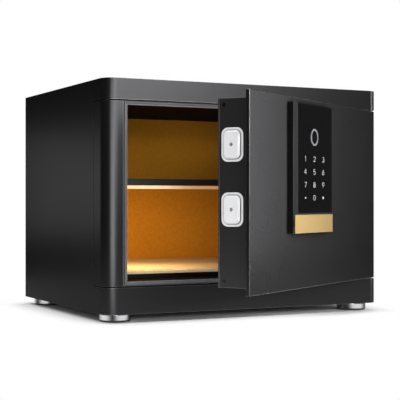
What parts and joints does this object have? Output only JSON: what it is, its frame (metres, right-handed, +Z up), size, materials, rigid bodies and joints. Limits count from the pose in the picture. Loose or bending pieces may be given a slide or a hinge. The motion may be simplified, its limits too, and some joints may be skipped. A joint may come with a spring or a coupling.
{
  "type": "electronic safe",
  "caption": "Home safe with a wrapped steel cabinet, a swinging door with motor-driven bolts, a touch panel with a fingerprint reader, a sliding key cover, a lit shelf and a soft mat.",
  "frame": {"origin": "centre of the floor anchor holes, on the underside of the steel cabinet, 10 mm above the ground that the feet rest on", "axes": "+X to the right as seen from the front, +Y to the back, +Z up; the door is stored 33 degrees open"},
  "size_m": [0.38, 0.4766, 0.283],
  "materials": {
    "cabinet_coat": "fine-textured black powder coat",
    "door_coat": "fine-textured black powder coat",
    "inner_coat": "black powder coat",
    "trim_metal": "satin dark grey",
    "tan_fabric": "short flocked pile, tan",
    "mat_fabric": "short pile, sand",
    "plated": "polished",
    "steel": "zinc-plated",
    "lamp_metal": "extruded, plain",
    "rubber": "matt",
    "brass": "plain",
    "gold": "gold anodised, satin",
    "black_plastic": "satin moulded",
    "touch_black": "gloss",
    "warm_diffuser": "frosted, lit warm white",
    "nylon": "natural",
    "board_green": "solder mask",
    "cell_sleeve": "plain sleeve",
    "red_plastic": "satin moulded"
  },
  "bodies": {
    "cabinet": {"floor_panel": "cabinet_coat", "roof_panel": "cabinet_coat", "back_panel": "cabinet_coat", "left_side_panel": "cabinet_coat", "right_side_panel": "cabinet_coat", "top_band": "cabinet_coat", "bottom_band": "cabinet_coat", "left_pillar": "cabinet_coat", "frame_plates": "inner_coat", "hinge_plates": "steel", "left_jamb": "inner_coat", "hinge_post": "inner_coat", "sill_channel": "inner_coat", "lintel_channel": "inner_coat", "trim_frame": "trim_metal", "floor_pan": "inner_coat", "ceiling_pan": "inner_coat", "liner_back": "tan_fabric", "liner_left": "tan_fabric", "liner_right": "tan_fabric", "shelf": "inner_coat", "shelf_rails": "inner_coat", "lamp_channel": "lamp_metal", "lamp_diffuser": "warm_diffuser", "floor_mat": "mat_fabric", "foot_cups": "plated", "foot_pads": "rubber", "foot_screws": "steel", "hinge_pins": "plated", "hinge_washer": "brass"},
    "door": {"door_skin": "door_coat", "door_box": "door_coat", "rear_cover": "door_coat", "rear_cover_screws": "plated", "edge_screws": "plated", "hinge_blocks": "steel", "hinge_bushes": "brass", "bolt_collars": "plated", "guide_studs": "plated", "gearbox": "black_plastic", "drive_motor": "steel", "gearbox_posts": "steel", "control_board": "board_green", "board_posts": "brass", "battery_tray": "black_plastic", "battery_cells": "cell_sleeve", "reset_switch": "black_plastic", "panel_housing": "black_plastic", "touch_glass": "touch_black", "fingerprint_ring": "plated", "fingerprint_sensor": "black_plastic", "key_cylinder": "plated", "cylinder_nut": "steel"},
    "bolts": {"locking_bolts": "plated", "bolt_carriage": "steel"},
    "pinion": {"drive_pinion": "nylon"},
    "plug": {"key_plug": "brass"},
    "sliding_cover": {"key_cover": "gold"},
    "lid": {"battery_lid": "black_plastic"},
    "button": {"reset_button": "red_plastic"}
  },
  "joints": [
    {"name": "door_hinge", "type": "hinge", "parent": "cabinet", "child": "door", "pos_m": [0.174, -0.131, 0.139], "axis": [0, 0, 1], "range_deg": [-33, 66]},
    {"name": "bolt_slide", "type": "slide", "parent": "door", "child": "bolts", "axis": [-0.8387, -0.5446, 0], "range_m": [0, 0.018]},
    {"name": "pinion_turn", "type": "hinge", "parent": "door", "child": "pinion", "pos_m": [-0.03932, -0.27072, 0.14575], "axis": [0.5446, -0.8387, 0], "range_deg": [0, 137.6]},
    {"name": "key_turn", "type": "hinge", "parent": "door", "child": "plug", "pos_m": [-0.01605, -0.26157, 0.1055], "axis": [0.5446, -0.8387, 0], "range_deg": [0, 90]},
    {"name": "key_cover_slide", "type": "slide", "parent": "door", "child": "sliding_cover", "axis": [0.8387, 0.5446, 0], "range_m": [0, 0.034]},
    {"name": "battery_lid_hinge", "type": "hinge", "parent": "door", "child": "lid", "pos_m": [0.06619, -0.16512, 0.057], "axis": [-0.8387, -0.5446, 0], "range_deg": [0, 90]},
    {"name": "reset_press", "type": "slide", "parent": "door", "child": "button", "axis": [0.5446, -0.8387, 0], "range_m": [0, 0.0012], "stiffness_N_per_m": 600, "springref_m": -0.001}
  ],
  "couplings": [
    {"joint": "pinion_turn", "follows": "bolt_slide", "rad_per_m": 133.33}
  ]
}
